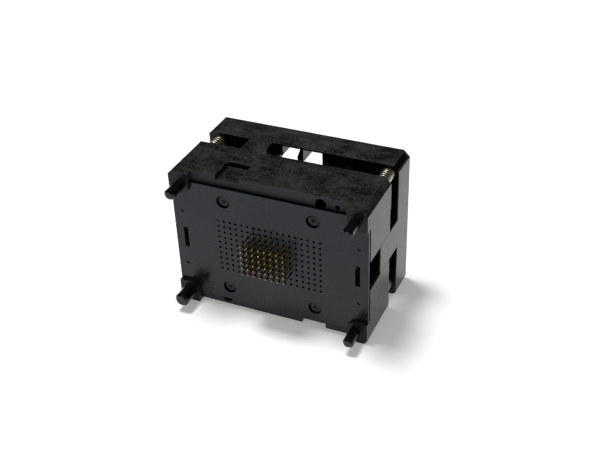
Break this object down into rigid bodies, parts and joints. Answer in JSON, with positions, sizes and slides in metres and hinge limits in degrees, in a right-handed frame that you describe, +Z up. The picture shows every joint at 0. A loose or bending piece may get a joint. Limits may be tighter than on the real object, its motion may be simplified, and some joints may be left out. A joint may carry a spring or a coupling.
{
  "type": "zif socket",
  "caption": "Open-top zero-insertion-force test socket for a small ball-grid package: press-down sprung cover over a base with locating pegs, latches and fine-pitch contacts.",
  "frame": {"origin": "centre of the contact array on the board's surface, level with the faces of the four corner pads", "axes": "+Z up from the board towards the cover, X along the long side, Y along the short side; the thick peg is at -X +Y"},
  "size_m": [0.026, 0.0196, 0.0176],
  "materials": {
    "housing_black": "moulded glass-filled polymer, faintly mottled matte",
    "plate_black": "smooth semi-gloss moulded polymer",
    "guide_black": "fine matte moulded polymer",
    "slider_black": "fine matte moulded polymer",
    "latch_grey": "matte reinforced polymer",
    "contact_gold": "gold-plated copper alloy",
    "spring_steel": "bright drawn stainless wire",
    "pin_steel": "ground stainless pin"
  },
  "bodies": {
    "base": {"base": "housing_black", "locator_plate": "plate_black", "contact_block": "housing_black", "contacts": "contact_gold", "latch_pin_left": "pin_steel", "latch_pin_right": "pin_steel", "cover_spring_front_left": "spring_steel", "cover_spring_front_right": "spring_steel", "cover_spring_rear_left": "spring_steel", "cover_spring_rear_right": "spring_steel", "guide_spring_front_left": "spring_steel", "guide_spring_front_right": "spring_steel", "guide_spring_rear_left": "spring_steel", "guide_spring_rear_right": "spring_steel", "slider_spring_front": "spring_steel", "slider_spring_rear": "spring_steel", "latch_spring_left": "spring_steel", "latch_spring_right": "spring_steel"},
    "cover": {"cover": "housing_black"},
    "slider": {"slider": "slider_black"},
    "package_guide": {"package_guide": "guide_black"},
    "latch_left": {"latch_left": "latch_grey"},
    "latch_right": {"latch_right": "latch_grey"}
  },
  "joints": [
    {"name": "cover_press", "type": "slide", "parent": "base", "child": "cover", "axis": [0, 0, -1], "range_m": [0, 0.0026], "stiffness_N_per_m": 1500, "springref_m": -0.00002, "deforming": ["cover_spring_front_left", "cover_spring_front_right", "cover_spring_rear_left", "cover_spring_rear_right"]},
    {"name": "latch_left_swing", "type": "hinge", "parent": "base", "child": "latch_left", "pos_m": [-0.0064, 0, 0.006], "axis": [0, -1, 0], "range_deg": [0, 42.5], "deforming": ["latch_spring_left"]},
    {"name": "latch_right_swing", "type": "hinge", "parent": "base", "child": "latch_right", "pos_m": [0.0064, 0, 0.006], "axis": [0, 1, 0], "range_deg": [0, 42.5], "deforming": ["latch_spring_right"]},
    {"name": "slider_shift", "type": "slide", "parent": "base", "child": "slider", "axis": [-1, 0, 0], "range_m": [0, 0.00021], "deforming": ["slider_spring_front", "slider_spring_rear"]},
    {"name": "guide_float", "type": "slide", "parent": "base", "child": "package_guide", "axis": [0, 0, -1], "range_m": [0, 0.0004], "stiffness_N_per_m": 200, "springref_m": -0.00001, "deforming": ["guide_spring_front_left", "guide_spring_front_right", "guide_spring_rear_left", "guide_spring_rear_right"]}
  ],
  "couplings": [
    {"joint": "latch_left_swing", "follows": "cover_press", "rad_per_m": 280.6},
    {"joint": "latch_right_swing", "follows": "cover_press", "rad_per_m": 280.6},
    {"joint": "slider_shift", "follows": "cover_press", "ratio": 0.076923}
  ]
}
